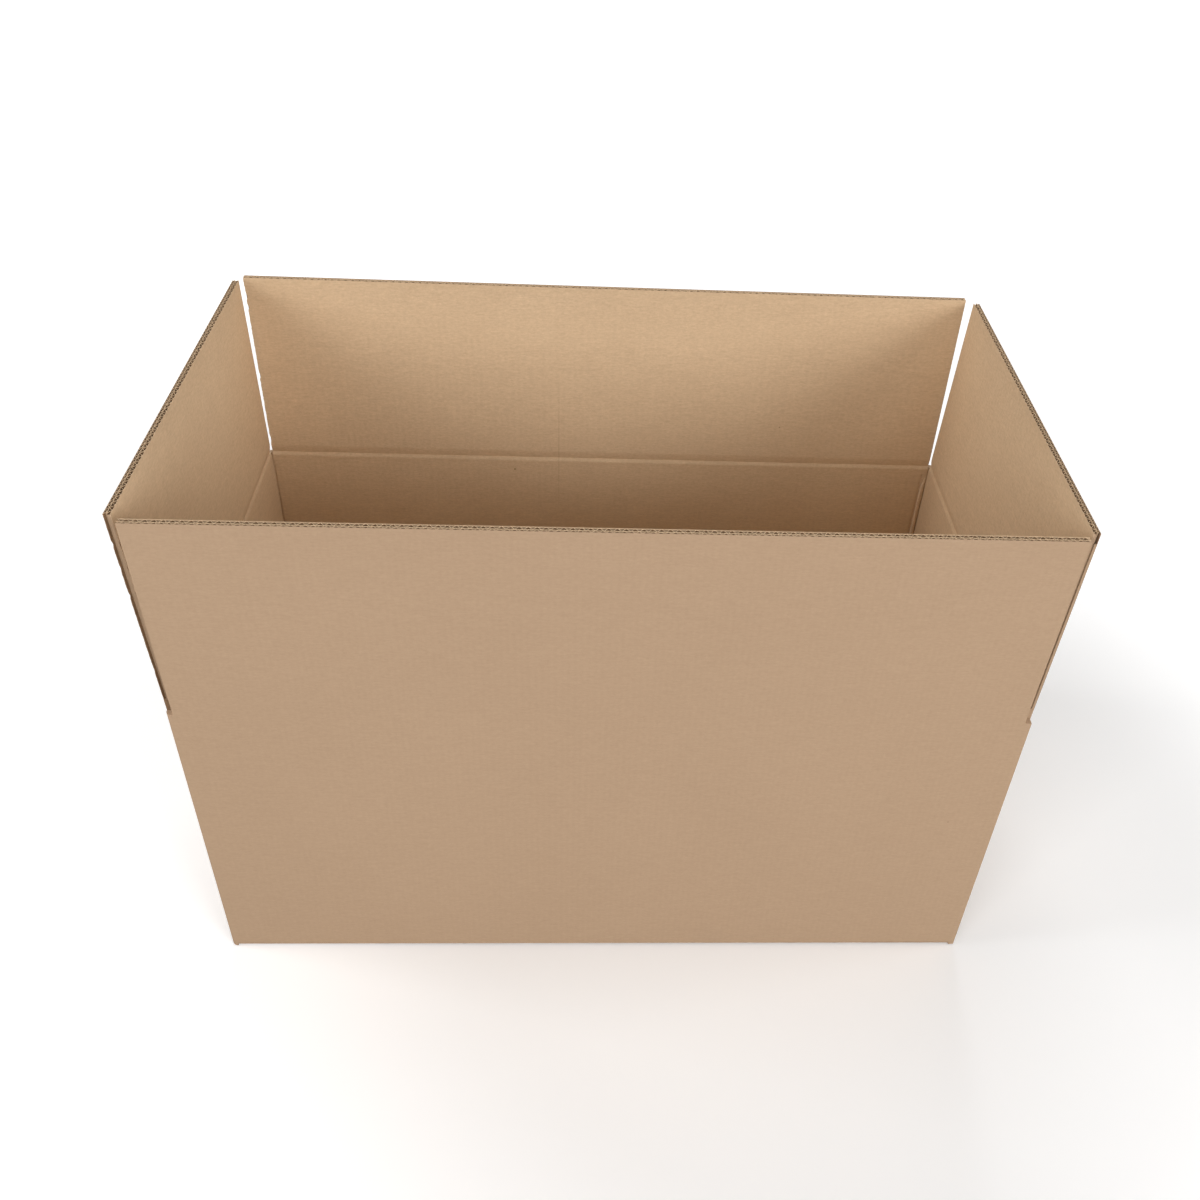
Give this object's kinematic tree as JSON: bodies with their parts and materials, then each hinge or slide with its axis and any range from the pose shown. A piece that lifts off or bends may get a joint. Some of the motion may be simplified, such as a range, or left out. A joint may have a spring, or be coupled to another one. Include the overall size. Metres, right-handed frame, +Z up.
{
  "type": "open cardboard shipping box",
  "caption": "Large open shipping box of double wall corrugated board, with long and short top flaps standing up on their folds and a closed, taped base.",
  "frame": {"origin": "middle of the base, on the surface that the box stands on", "axes": "+X along the long walls, +Y from the front wall to the back wall, +Z up"},
  "size_m": [0.8836, 0.485, 0.6271],
  "materials": {
    "kraft_board": "matte",
    "tape": "gloss"
  },
  "bodies": {
    "carton": {"folded_body": "kraft_board", "base_tape": "tape"},
    "front_flap": {"flap_front": "kraft_board"},
    "back_flap": {"flap_back": "kraft_board"},
    "left_flap": {"flap_left": "kraft_board"},
    "right_flap": {"flap_right": "kraft_board"}
  },
  "joints": [
    {"name": "front_fold", "type": "hinge", "parent": "carton", "child": "front_flap", "pos_m": [0, -0.2375, 0.39], "axis": [-1, 0, 0], "range_deg": [-163.8, 91.2]},
    {"name": "back_fold", "type": "hinge", "parent": "carton", "child": "back_flap", "pos_m": [0, 0.2375, 0.39], "axis": [1, 0, 0], "range_deg": [-163.8, 91.2]},
    {"name": "left_fold", "type": "hinge", "parent": "carton", "child": "left_flap", "pos_m": [-0.435, 0, 0.38276], "axis": [0, 1, 0], "range_deg": [-163.4, 91.6]},
    {"name": "right_fold", "type": "hinge", "parent": "carton", "child": "right_flap", "pos_m": [0.435, 0, 0.38276], "axis": [0, -1, 0], "range_deg": [-163.4, 91.6]}
  ]
}
